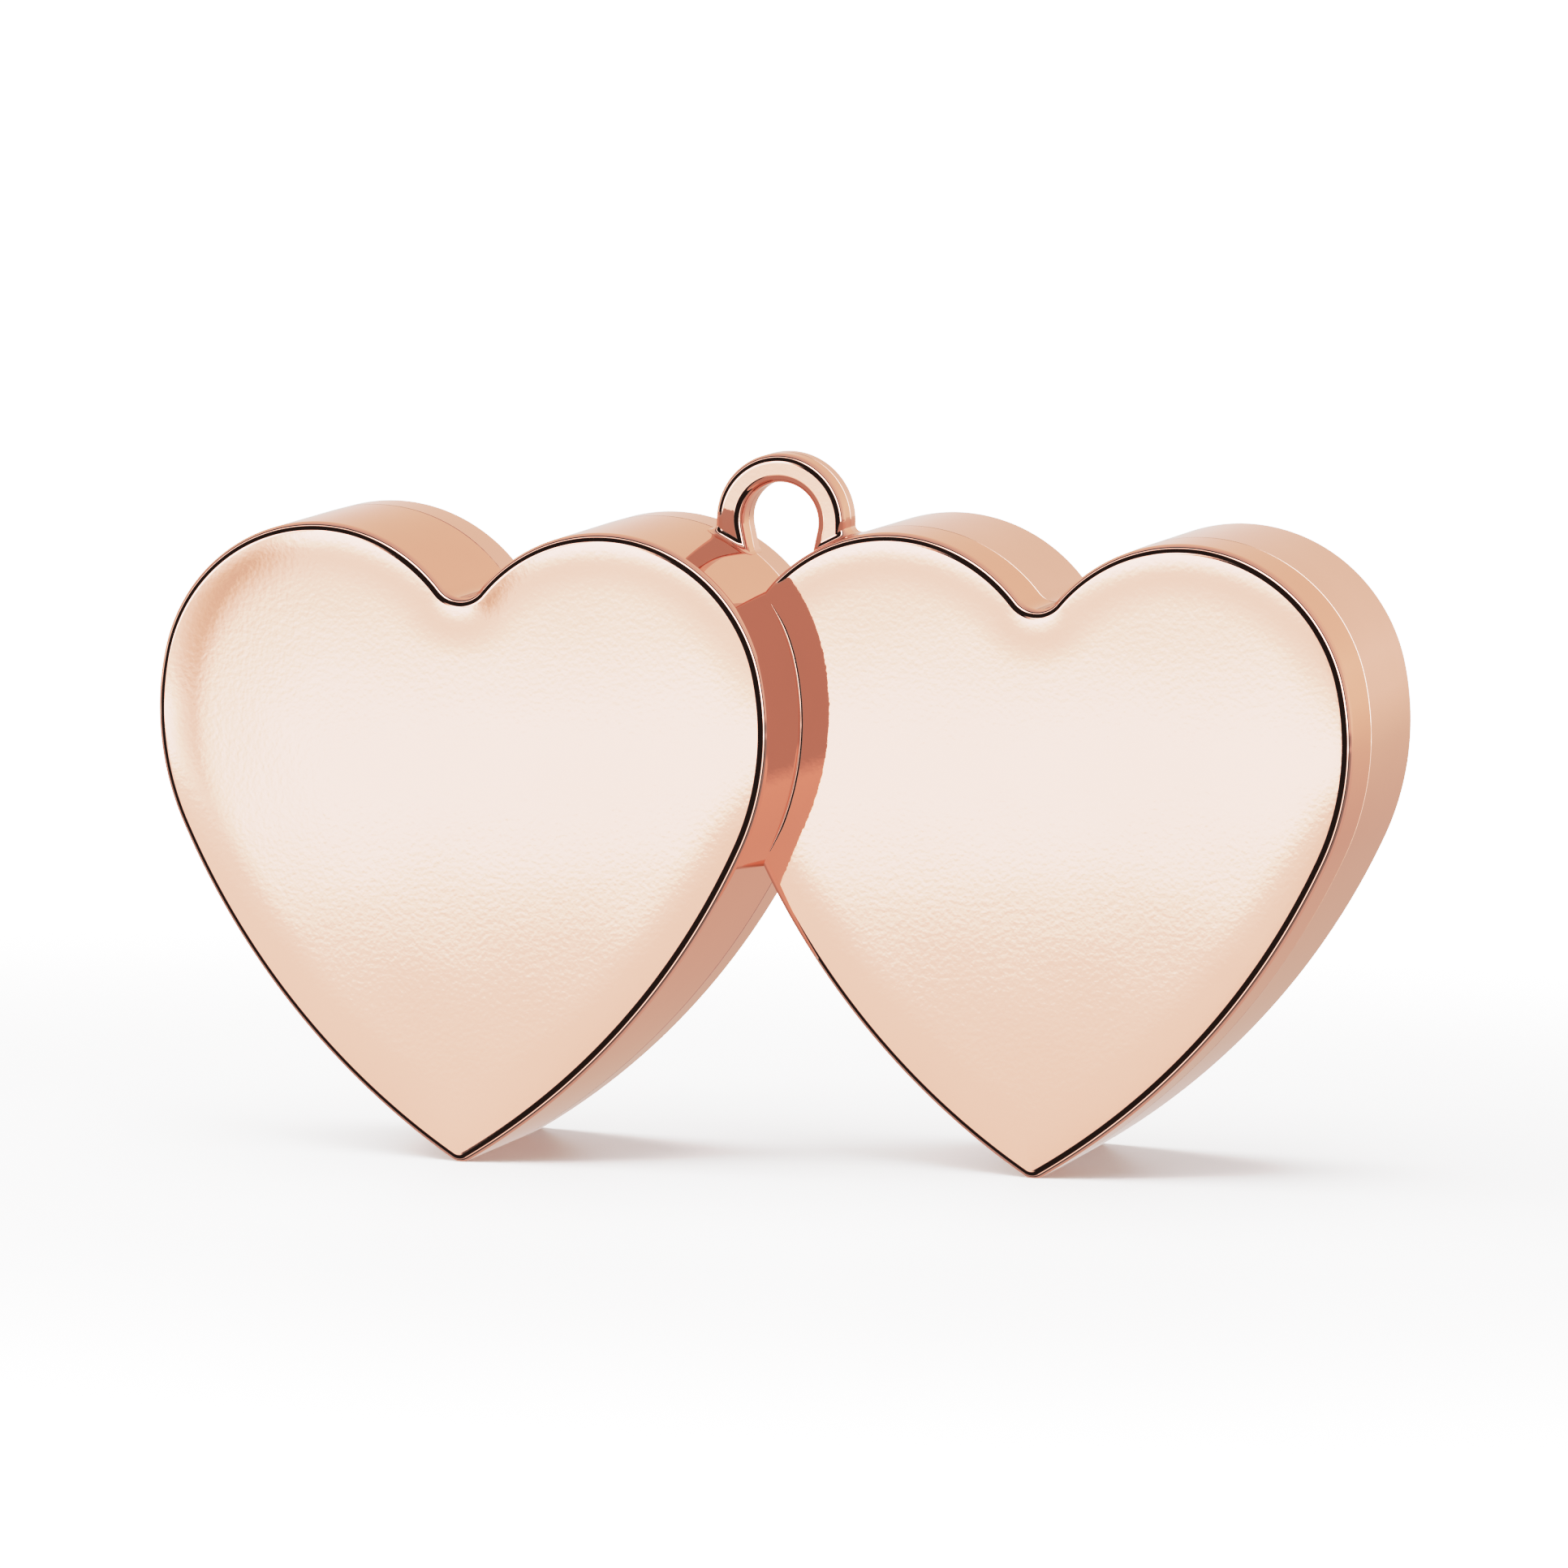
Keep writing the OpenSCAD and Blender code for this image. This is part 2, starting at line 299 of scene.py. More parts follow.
def join(obj, tool, how):
    """Adds, cuts or keeps what tool holds, and drops the tool."""
    m = obj.modifiers.new("join", "BOOLEAN")
    m.operation, m.object, m.solver = how, tool, "MANIFOLD"
    dg = bpy.context.evaluated_depsgraph_get()
    mesh = bpy.data.meshes.new_from_object(obj.evaluated_get(dg))
    if not mesh.polygons:
        raise RuntimeError(f"{obj.name}: {how} with {tool.name} left nothing")
    obj.modifiers.clear()
    old = obj.data
    obj.data = mesh
    bpy.data.meshes.remove(old)
    drop(tool)
    return obj


def drop(obj):
    mesh = obj.data
    bpy.data.objects.remove(obj)
    bpy.data.meshes.remove(mesh)


def copy(obj, name):
    new = bpy.data.objects.new(name, obj.data.copy())
    bpy.context.scene.collection.objects.link(new)
    return new


def prism(name, outline, cx, y0, y1):
    """A straight bare solid along y through an outline of (x, z, ...) points."""
    n = len(outline)
    verts = [(cx + p[0], y, p[1]) for y in (y0, y1) for p in outline]
    faces = caps(2 * n, n) + bands(2, n, inner=True)
    return merge(new_object(name, verts, faces, BARE))


def bar(x, z, r, y0, y1, steps=48):
    ring = [(r * math.cos(2 * math.pi * i / steps), z + r * math.sin(2 * math.pi * i / steps))
            for i in range(steps)]
    return prism("bar", ring, x, y0, y1)


def block(y0, y1):
    """More room than the object takes, between two depths."""
    corners = [(-0.1, -0.05), (0.1, -0.05), (0.1, 0.12), (-0.1, 0.12)]
    return prism("block", corners, 0.0, y0, y1)


class Source:
    """A smooth surface that the joined mesh takes its normals from."""

    def __init__(self, verts, normals, faces):
        self.tris = []
        for f in faces:
            for i in range(1, len(f) - 1):
                self.tris.append((f[0], f[i], f[i + 1]))
        self.verts = [Vector(v) for v in verts]
        self.normals = normals
        self.tree = BVHTree.FromPolygons(self.verts, self.tris)

    def normal(self, point):
        place, _, index, _ = self.tree.find_nearest(point)
        a, b, c = (self.verts[i] for i in self.tris[index])
        na, nb, nc = (self.normals[i] for i in self.tris[index])
        ab, ac, ap = b - a, c - a, place - a
        d00, d01, d11 = ab.dot(ab), ab.dot(ac), ac.dot(ac)
        d20, d21 = ap.dot(ab), ap.dot(ac)
        det = d00 * d11 - d01 * d01
        if det < 1e-22:
            return na
        v, w = (d11 * d20 - d01 * d21) / det, (d00 * d21 - d01 * d20) / det
        return ((1 - v - w) * na + v * nb + w * nc).normalized()


def heart_skin(plan, heart, tag):
    """One whole heart's outside, and the surface its normals come from."""
    cx, front, back = heart
    rows = list(reversed(plan.levels(back - plan.seam_y, 1)))[:-1]
    rows += plan.levels(plan.seam_y - front, -1)
    verts, normals = [], []
    for y, d, nd, ny in rows:
        for x, z, nx, nz in plan.outline(d):
            verts.append((cx + x, y, z))
            normals.append(Vector((nd * nx, ny, nd * nz)).normalized())
    n = len(verts) // len(rows)
    faces = bands(len(rows), n)
    source = Source(verts, normals, faces)
    return merge(new_object("heart", verts, faces + caps(len(verts), n), tag)), source


def ring_section(s):
    """(share from the eye to the outside as an offset, y, share of the normal) points."""
    h, e = s.ring_d / 2, s.ring_edge
    g, gw = s.groove, s.groove_w
    steps = 10
    out = []

    def corner(side_r, side_y, a0, a1):
        for i in range(steps + 1):
            a = a0 + (a1 - a0) * i / steps
            out.append((side_r, e * math.cos(a) - side_r * e, side_y * (h - e) + e * math.sin(a),
                        math.cos(a), math.sin(a)))

    corner(1, 1, 0, math.pi / 2)
    corner(-1, 1, math.pi / 2, math.pi)
    out.append((-1, 0.0, gw, -1.0, 0.0))
    out.append((-1, g, 0.0, -1.0, 0.0))
    out.append((-1, 0.0, -gw, -1.0, 0.0))
    corner(-1, -1, math.pi, 1.5 * math.pi)
    corner(1, -1, 1.5 * math.pi, 2 * math.pi)
    out.append((1, 0.0, -gw, 1.0, 0.0))
    out.append((1, -g, 0.0, 1.0, 0.0))
    out.append((1, 0.0, gw, 1.0, 0.0))
    return out


def leg_inside(s, h):
    """How far inside the leg is from the middle, h below the eye's centre, and its lean."""
    turn = s.eye_r * math.sin(s.leg_lean)
    if h < turn:
        return math.sqrt(s.eye_r ** 2 - h * h), math.asin(h / s.eye_r)
    return s.eye_r * math.cos(s.leg_lean) - (h - turn) * math.tan(s.leg_lean), s.leg_lean


def ribbon_ring(plan):
    s = plan.s
    leg = plan.ring_z - (plan.crown_z + math.sqrt(plan.crown_r ** 2 - plan.crown_off ** 2))
    leg += 1.4 * s.wall
    turn = s.eye_r * math.sin(s.leg_lean)
    heights = [leg, turn * 1.02] + [turn * k / 6 for k in range(6, 0, -1)]
    section = ring_section(s)
    verts, normals = [], []

    def station(inner, outer, n_in, n_out):
        for side, off, y, nr, ny in section:
            base, n = (outer, n_out) if side > 0 else (inner, n_in)
            p = base + n * off
            verts.append((p.x, plan.seam_y + y, p.z))
            normals.append(Vector((n.x * nr, ny, n.z * nr)).normalized())

    def leg_station(sign, h):
        x, lean = leg_inside(s, h)
        z = plan.ring_z - h
        # directions away from the eye, inside and outside
        station(Vector((sign * x, 0, z)), Vector((sign * plan.ring_r, 0, z)),
                Vector((sign * math.cos(lean), 0, -math.sin(lean))), Vector((sign, 0, 0)))

    for h in heights:
        leg_station(1, h)
    steps = 96
    for i in range(steps + 1):
        a = math.pi * i / steps
        way = Vector((math.cos(a), 0, math.sin(a)))
        mid = Vector((0, 0, plan.ring_z))
        station(mid + way * s.eye_r, mid + way * plan.ring_r, way, way)
    for h in reversed(heights):
        leg_station(-1, h)
    n = len(section)
    faces = bands(len(verts) // n, n)
    source = Source(verts, normals, faces)
    return merge(new_object("ring", verts, faces + caps(len(verts), n), RING)), source


def foot_fillet(plan, sign):
    """The hollow fillet where one of the ring's legs meets the crown under it."""
    s = plan.s
    r = s.fillet_r
    sink = 0.003 * r
    section = [p for p in ring_section(s) if abs(p[1]) < 0.9 * s.groove or abs(p[2]) > s.groove_w]
    cx, cz = sign * plan.crown_off, plan.crown_z
    verts, normals = [], []
    steps = 10
    for side, off, y, nr, ny in section:
        z = plan.ring_z
        for _ in range(8):
            base = plan.ring_r if side > 0 else leg_inside(s, plan.ring_z - z)[0]
            # away from the leg, level
            out = Vector((sign * nr, ny, 0)).normalized()
            foot = Vector((sign * (base + off), plan.seam_y + y, 0))
            ball = foot + out * (r - sink)
            reach = plan.crown_r + r - sink
            z = cz + math.sqrt(max(reach ** 2 - (ball.x - cx) ** 2, 0))
        ball.z = z
        to_leg = -out
        to_crown = Vector((cx - ball.x, 0, cz - ball.z)).normalized()
        whole = to_leg.angle(to_crown)
        for i in range(steps + 1):
            u = i / steps
            way = (to_leg * math.sin((1 - u) * whole) + to_crown * math.sin(u * whole))
            way.normalize()
            verts.append(ball + way * r)
            normals.append(-way)
        deep = 0.5 * MM
        verts.append(ball + to_crown * (r + deep))
        normals.append(-to_crown)
        verts.append(ball + to_crown * (r + deep) + to_leg * (r + deep))
        normals.append(out)
        verts.append(ball + to_leg * (r + deep))
        normals.append(out)
    row = steps + 4
    faces = bands(len(section), row, wrap=True, inner=True)
    smooth = [f for f in faces if f[0] % row < steps]
    return merge(new_object("fillet", verts, faces, FILLET)), Source(verts, normals, smooth)


def inside_by(point, loop):
    """How far a point (x, z) is inside a loop of such points."""
    px, pz = point
    nearest, within = 1.0, False
    for i, (bx, bz) in enumerate(loop):
        ax, az = loop[i - 1]
        run = (bx - ax) ** 2 + (bz - az) ** 2
        t = max(0.0, min(1.0, ((px - ax) * (bx - ax) + (pz - az) * (bz - az)) / run))
        nearest = min(nearest, math.hypot(px - ax - t * (bx - ax), pz - az - t * (bz - az)))
        if (az > pz) != (bz > pz) and px < ax + (pz - az) * (bx - ax) / (bz - az):
            within = not within
    return nearest if within else -nearest


def corner_fillet(plan, side):
    """The fillet where one heart's wall meets the other heart's face: side -1 is the
    left heart's wall on the right front, 1 the right heart's wall on the left back."""
    s = plan.s
    wall, face = plan.hearts if side < 0 else plan.hearts[::-1]
    level = face[1] if side < 0 else face[2]
    set_in = s.lip + math.tan(s.draft) * abs(level - plan.seam_y)
    loop = [(face[0] + p[0], p[1]) for p in plan.outline(0, 0.5)]
    drop = s.crown_slope * s.crown_w / 3
    verts, normals = [], []
    steps = 8
    for x, z, nx, nz in plan.outline(set_in):
        x, nx = (x, nx) if side < 0 else (-x, -nx)
        place = Vector((wall[0] + x, 0, z))
        way = Vector((nx, 0, nz))
        # only the wall that runs towards the other heart
        if way.x * -side < 0.3:
            continue
        depth = inside_by((place.x + way.x * s.corner_r, place.z), loop)
        if depth < 1.6 * s.edge_r:
            continue
        # it thins towards the other heart's edge, where the face bends away
        share = min(1.0, (depth - 1.6 * s.edge_r) / (2.5 * s.edge_r))
        r = s.corner_r * (0.25 + 0.75 * share)
        gone = max(0.0, 1 - (depth - s.edge_r) / s.crown_w)
        y = level - side * drop * gone ** 3
        sink = 0.004 * r
        ball = place + way * (r - sink) + Vector((0, y + side * (r - sink), 0))
        inward = Vector((0, -side, 0))
        for i in range(steps + 1):
            a = math.pi / 2 * i / steps
            out = -way * math.cos(a) + inward * math.sin(a)
            verts.append(ball + out * r)
            normals.append(-out)
        deep = 0.3 * MM
        for w, i in ((0, r + deep), (-r - deep, r + deep), (-r - deep, 0)):
            verts.append(ball + way * w + inward * i)
            normals.append(way)
    row = steps + 4
    faces = bands(len(verts) // row, row, inner=True)
    source = Source(verts, normals, [f for f in faces if f[0] % row < steps])
    faces += caps(len(verts), row)
    return merge(new_object("corner", verts, faces, CORNER)), source


# ---------------------------------------------------------------- the shells

def closed_body(plan):
    """Both hearts and the ring as one closed solid, with the surfaces behind it."""
    body, left = heart_skin(plan, plan.hearts[0], LEFT)
    other, right = heart_skin(plan, plan.hearts[1], RIGHT)
    join(body, other, "UNION")
    ring, round_ring = ribbon_ring(plan)
    join(body, ring, "UNION")
    fillets = []
    for sign in (-1, 1):
        fillet, source = foot_fillet(plan, sign)
        join(body, fillet, "UNION")
        fillets.append(source)
    corners = []
    for side in (1, -1):
        corner, source = corner_fillet(plan, side)
        join(body, corner, "UNION")
        corners.append(source)
    return body, {LEFT: [left], RIGHT: [right], RING: [round_ring], FILLET: fillets,
                  CORNER: corners}


def shell_half(plan, body, name, side):
    """The body on one side of the parting line, hollowed out."""
    s = plan.s
    seam = plan.seam_y
    shell = copy(body, name)
    join(shell, block(seam, seam + 0.1) if side > 0 else block(seam - 0.1, seam), "INTERSECT")
    inside = plan.outline(s.wall, 0.4)
    for cx, front, back in plan.hearts:
        y0, y1 = (seam - MM, back - s.wall) if side > 0 else (front + s.wall, seam + MM)
        join(shell, prism("hollow", inside, cx, y0, y1), "DIFFERENCE")
    return shell


def front_details(plan, shell):
    """Tongue, posts and pins of the front shell."""
    s = plan.s
    seam = plan.seam_y
    tongue = None
    for cx, _, _ in plan.hearts:
        part = prism("tongue", plan.outline(s.wall - s.tongue_t, 0.4), cx, seam - MM,
                     seam + s.tongue_h)
        tongue = join(tongue, part, "UNION") if tongue else part
    for cx, _, _ in plan.hearts:
        join(tongue, prism("hollow", plan.outline(s.wall, 0.4), cx, seam - 2 * MM,
                           seam + s.tongue_h + MM), "DIFFERENCE")
    join(shell, tongue, "UNION")
    for cx, front, _ in plan.hearts:
        for x, z in plan.pins:
            join(shell, bar(cx + x, z, s.post_r, front + s.wall / 2, seam), "UNION")
            join(shell, bar(cx + x, z, s.pin_r, front + s.wall / 2, seam + s.pin_h), "UNION")


def rear_details(plan, shell):
    """Rebate, bosses with sockets, and the collar with the filling hole."""
    s = plan.s
    seam = plan.seam_y
    for cx, _, _ in plan.hearts:
        join(shell, prism("rebate", plan.outline(s.wall - s.tongue_t - s.fit_gap, 0.4), cx,
                          seam - MM, seam + s.tongue_h + s.fit_gap), "DIFFERENCE")
    for cx, _, back in plan.hearts:
        for x, z in plan.pins:
            join(shell, bar(cx + x, z, s.post_r, seam, back - s.wall / 2), "UNION")
    x, back = plan.hearts[1][0], plan.hearts[1][2]
    z = (PLUG[0].z + PLUG[1].z) / 2
    head_r = (PLUG[1].z - PLUG[0].z) / 2
    join(shell, bar(x, z, s.hole_r + s.collar_t, back - s.collar_h, back - s.wall / 2, 64),
         "UNION")
    for cx, _, _ in plan.hearts:
        for px, pz in plan.pins:
            join(shell, bar(cx + px, pz, s.pin_r + s.fit_gap, seam - MM,
                            seam + s.pin_h + s.fit_gap), "DIFFERENCE")
    join(shell, bar(x, z, s.hole_r, back - s.collar_h - MM, back + MM, 64), "DIFFERENCE")
    join(shell, bar(x, z, head_r + s.fit_gap, back - MM, back + MM, 128), "DIFFERENCE")


def dress(shell, sources, materials):
    """Gives every corner its true normal and every face its finish."""
    mesh = shell.data
    points = [v.co.copy() for v in mesh.vertices]
    normals = [None] * len(mesh.loops)
    known = {}
    for poly in mesh.polygons:
        tag = poly.material_index
        for li in poly.loop_indices:
            vi = mesh.loops[li].vertex_index
            if tag == BARE:
                normals[li] = poly.normal.copy()
                continue
            key = (vi, tag)
            if key not in known:
                # of a pair, the first is the one on the left
                pair = sources[tag]
                known[key] = pair[0 if points[vi].x < 0 else -1].normal(points[vi])
            n = known[key]
            # a flat that the smooth surface doesn't hold, such as a foot, keeps its own
            normals[li] = n if n.dot(poly.normal) > 0.6 else poly.normal.copy()
    bare = [p.material_index == BARE for p in mesh.polygons]
    mesh.materials.clear()
    for m in materials:
        mesh.materials.append(m)
    mesh.polygons.foreach_set("material_index", [int(b) for b in bare])
    mesh.polygons.foreach_set("use_smooth", [True] * len(mesh.polygons))
    mesh.normals_split_custom_set(normals)
    mesh.update()


# ---------------------------------------------------------------- node helpers

def tree_node(tree, kind, place, **values):
    node = tree.nodes.new(kind)
    node.location = place
    for key, value in values.items():
        if hasattr(node, key):
            setattr(node, key, value)
        else:
            node.inputs[key.replace("_", " ")].default_value = value
    return node


def feed(tree, socket, value):
    """Links an output to a socket, or sets the socket to a number or a colour."""
    if hasattr(value, "links"):
        tree.links.new(value, socket)
    elif value is not None:
        socket.default_value = value


def math_node(tree, operation, a, b, place):
    node = tree_node(tree, "ShaderNodeMath", place, operation=operation)
    feed(tree, node.inputs[0], a)
    feed(tree, node.inputs[1], b)
    return node.outputs[0]


def map_range(tree, value, low, high, place, to_low=0.0, to_high=1.0, **kind):
    node = tree_node(tree, "ShaderNodeMapRange", place, **kind)
    for label, number in (("Value", value), ("From Min", low), ("From Max", high),
                          ("To Min", to_low), ("To Max", to_high)):
        feed(tree, node.inputs[label], number)
    return node.outputs["Result"]


def mix_colours(tree, share, one, other, place):
    node = tree_node(tree, "ShaderNodeMix", place, data_type="RGBA")
    for i, value in ((0, share), (6, one), (7, other)):
        feed(tree, node.inputs[i], value)
    return node.outputs[2]


def noise(tree, where, scale, place, **values):
    node = tree_node(tree, "ShaderNodeTexNoise", place, **values)
    feed(tree, node.inputs["Vector"], where)
    feed(tree, node.inputs["Scale"], scale)
    return node.outputs["Fac"]


def facing(tree, axis, place):
    """How far the surface faces along an axis."""
    surface = tree_node(tree, "ShaderNodeNewGeometry", place)
    parts = tree_node(tree, "ShaderNodeSeparateXYZ", (place[0] + 200, place[1]))
    tree.links.new(surface.outputs["Normal"], parts.inputs["Vector"])
    return parts.outputs[axis]


def new_group(name, inputs, outputs):
    """A shader group with (name, socket type, default) inputs and (name, type) outputs."""
    group = bpy.data.node_groups.new(name, "ShaderNodeTree")
    for label, kind, default in inputs:
        socket = group.interface.new_socket(label, in_out="INPUT", socket_type=kind)
        if default is not None:
            socket.default_value = default
    for label, kind in outputs:
        group.interface.new_socket(label, in_out="OUTPUT", socket_type=kind)
    entry = tree_node(group, "NodeGroupInput", (-900, 0))
    leave = tree_node(group, "NodeGroupOutput", (700, 0))
    return group, entry, leave


def place_group(tree, maker, where, place, **values):
    """Places a maker's group, which is made the first time that a material needs it."""
    node = tree_node(tree, "ShaderNodeGroup", place)
    node.node_tree = bpy.data.node_groups.get(GROUP_NAMES[maker]) or maker()
    tree.links.new(where, node.inputs["Vector"])
    for key, value in values.items():
        node.inputs[key.replace("_", " ")].default_value = value
    return node


def peel_group():
    """Orange peel of a sprayed lacquer: fine dimples on a slow swell."""
    group, entry, leave = new_group(
        GROUP_NAMES[peel_group],
        [("Vector", "NodeSocketVector", None), ("Dimples", "NodeSocketFloat", 2.2),
         ("Swell", "NodeSocketFloat", 0.12), ("Swell Share", "NodeSocketFloat", 3.0)],
        [("Height", "NodeSocketFloat")])
    where = entry.outputs["Vector"]
    fine = noise(group, where, entry.outputs["Dimples"], (-500, 150), Detail=1.5,
                 Roughness=0.45)
    slow = noise(group, where, entry.outputs["Swell"], (-500, -150), Detail=0.0)
    swell = math_node(group, "MULTIPLY", slow, entry.outputs["Swell Share"], (-200, -150))
    total = math_node(group, "ADD", fine, swell, (100, 0))
    group.links.new(total, leave.inputs["Height"])
    return group


def drift_group():
    """Slow drift between two colours, as where a lacquer runs thicker."""
    group, entry, leave = new_group(
        GROUP_NAMES[drift_group],
        [("Vector", "NodeSocketVector", None), ("Size", "NodeSocketFloat", 0.05),
         ("One", "NodeSocketColor", (1, 1, 1, 1)), ("Other", "NodeSocketColor", (0, 0, 0, 1))],
        [("Colour", "NodeSocketColor"), ("Mask", "NodeSocketFloat")])
    clouds = noise(group, entry.outputs["Vector"], entry.outputs["Size"], (-500, 0),
                   Detail=4.0, Roughness=0.55)
    spread = map_range(group, clouds, 0.35, 0.65, (-250, 0))
    tone = mix_colours(group, spread, entry.outputs["One"], entry.outputs["Other"], (50, 0))
    group.links.new(tone, leave.inputs["Colour"])
    group.links.new(spread, leave.inputs["Mask"])
    return group


def dust_group():
    """A mask for fine dust that settles on what faces up."""
    group, entry, leave = new_group(
        GROUP_NAMES[dust_group],
        [("Vector", "NodeSocketVector", None), ("Specks", "NodeSocketFloat", 3.0),
         ("Amount", "NodeSocketFloat", 0.3)],
        [("Mask", "NodeSocketFloat")])
    up = map_range(group, facing(group, "Z", (-700, 250)), 0.3, 1.0, (-300, 250))
    specks = noise(group, entry.outputs["Vector"], entry.outputs["Specks"], (-500, -50),
                   Detail=3.0)
    both = math_node(group, "MULTIPLY", up, map_range(group, specks, 0.55, 0.75, (-300, -50)),
                     (0, 100))
    out = math_node(group, "MULTIPLY", both, entry.outputs["Amount"], (250, 100))
    group.links.new(out, leave.inputs["Mask"])
    return group


GROUP_NAMES = {peel_group: "Orange Peel", drift_group: "Colour Drift",
               dust_group: "Settled Dust"}


def millimetres(tree):
    """Object coordinates in millimetres."""
    where = tree_node(tree, "ShaderNodeTexCoord", (-1500, 0))
    scale = tree_node(tree, "ShaderNodeMapping", (-1300, 0))
    scale.inputs["Scale"].default_value = (1000, 1000, 1000)
    tree.links.new(where.outputs["Object"], scale.inputs["Vector"])
    return scale.outputs["Vector"]


def new_material(name):
    material = bpy.data.materials.new(name)
    material.use_nodes = True
    tree = material.node_tree
    shader = next(n for n in tree.nodes if n.type == "BSDF_PRINCIPLED")
    return material, tree, shader


def bump(tree, height, distance, place):
    node = tree_node(tree, "ShaderNodeBump", place)
    node.inputs["Strength"].default_value = 1.0
    node.inputs["Distance"].default_value = distance
    tree.links.new(height, node.inputs["Height"])
    return node.outputs["Normal"]


def metallised_skin(name, tint, finish):
    """Vacuum-metallised plastic under a tinted, slightly dimpled lacquer."""
    material, tree, shader = new_material(name)
    link = tree.links.new
    where = millimetres(tree)
    peel = place_group(tree, peel_group, where, (-900, -300))
    drift = place_group(tree, drift_group, where, (-900, 200), One=(*tint, 1),
                        Other=(*[0.97 * c for c in tint], 1))
    dust = place_group(tree, dust_group, where, (-900, -50))
    link(drift.outputs["Colour"], shader.inputs["Base Color"])
    # dust adds this much roughness where it lies thickest
    dusty = 0.2
    rough = map_range(tree, dust.outputs["Mask"], 0.0, 1.0, (-500, 0), finish.gloss,
                      finish.gloss + dusty)
    link(rough, shader.inputs["Roughness"])
    shader.inputs["Metallic"].default_value = 1.0
    shader.inputs["Specular Tint"].default_value = (0.95, 0.80, 0.72, 1)
    # the faces were sprayed flat and dimple; the drafted walls flowed out smooth
    level = math_node(tree, "ABSOLUTE", facing(tree, "Y", (-900, -550)), None, (-500, -550))
    flat = map_range(tree, level, 0.5, 1.0, (-300, -550), 0.12)
    height = math_node(tree, "MULTIPLY", peel.outputs["Height"], flat, (-100, -400))
    link(bump(tree, height, finish.peel, (100, -300)), shader.inputs["Normal"])
    return material


def bare_plastic(finish):
    """Moulded plastic inside the shells, dull from the mould."""
    name = "Bare Moulded Plastic"
    if name in bpy.data.materials:
        return bpy.data.materials[name]
    material, tree, shader = new_material(name)
    link = tree.links.new
    where = millimetres(tree)
    drift = place_group(tree, drift_group, where, (-900, 200), Size=0.2,
                        One=(*finish.bare, 1), Other=(*[0.85 * c for c in finish.bare], 1))
    peel = place_group(tree, peel_group, where, (-900, -300), Dimples=4.0, Swell_Share=0.5)
    link(drift.outputs["Colour"], shader.inputs["Base Color"])
    shader.inputs["Roughness"].default_value = 0.45
    link(bump(tree, peel.outputs["Height"], 0.004 * MM, (-400, -300)), shader.inputs["Normal"])
    return material


def plug_plastic(finish):
    """The plug's satin plastic, coloured to go with the shell."""
    material, tree, shader = new_material("Satin Plug Plastic")
    link = tree.links.new
    where = millimetres(tree)
    drift = place_group(tree, drift_group, where, (-900, 200), Size=0.3,
                        One=(*finish.plug, 1), Other=(*[0.9 * c for c in finish.plug], 1))
    peel = place_group(tree, peel_group, where, (-900, -300), Dimples=6.0, Swell_Share=0.4)
    link(drift.outputs["Colour"], shader.inputs["Base Color"])
    link(map_range(tree, drift.outputs["Mask"], 0.0, 1.0, (-500, 0), 0.33, 0.55),
         shader.inputs["Roughness"])
    link(bump(tree, peel.outputs["Height"], 0.006 * MM, (-400, -300)), shader.inputs["Normal"])
    return material


def dry_sand(finish):
    """Loose quartz sand: pale grains, some dark ones, and pits between them."""
    material, tree, shader = new_material("Dry Quartz Sand")
    link = tree.links.new
    where = millimetres(tree)
    grains = tree_node(tree, "ShaderNodeTexVoronoi", (-900, 200))
    grains.inputs["Scale"].default_value = 2.8
    link(where, grains.inputs["Vector"])
    shade = tree_node(tree, "ShaderNodeSeparateColor", (-700, 200))
    link(grains.outputs["Color"], shade.inputs["Color"])
    ramp = tree_node(tree, "ShaderNodeValToRGB", (-500, 200))
    ramp.color_ramp.elements[0].color = (*finish.sand_dark, 1)
    ramp.color_ramp.elements[1].color = (*finish.sand, 1)
    ramp.color_ramp.elements[1].position = 0.25
    pale = ramp.color_ramp.elements.new(1.0)
    pale.color = (*[min(1.0, 1.35 * c) for c in finish.sand], 1)
    link(shade.outputs["Red"], ramp.inputs["Fac"])
    link(ramp.outputs["Color"], shader.inputs["Base Color"])
    shader.inputs["Roughness"].default_value = 0.85
    pits = math_node(tree, "SUBTRACT", 1.0, grains.outputs["Distance"], (-500, -200))
    link(bump(tree, pits, 0.15 * MM, (-300, -200)), shader.inputs["Normal"])
    return material


# ---------------------------------------------------------------- the stage

def curve(tree, value, points, place, reach=180.0):
    """A curve through given (input, output) points, with straight lines between them."""
    top = max(y for _, y in points)
    span = map_range(tree, value, -reach, reach, place)
    node = tree_node(tree, "ShaderNodeFloatCurve", (place[0] + 180, place[1]))
    line = node.mapping.curves[0]
    line.points[0].location = (0.0, points[0][1] / top)
    line.points[1].location = (1.0, points[-1][1] / top)
    for x, y in points:
        line.points.new((x + reach) / (2 * reach), y / top)
    for point in line.points:
        point.handle_type = "VECTOR"
    node.mapping.update()
    tree.links.new(span, node.inputs["Value"])
    return math_node(tree, "MULTIPLY", node.outputs["Value"], top, (place[0] + 450, place[1]))


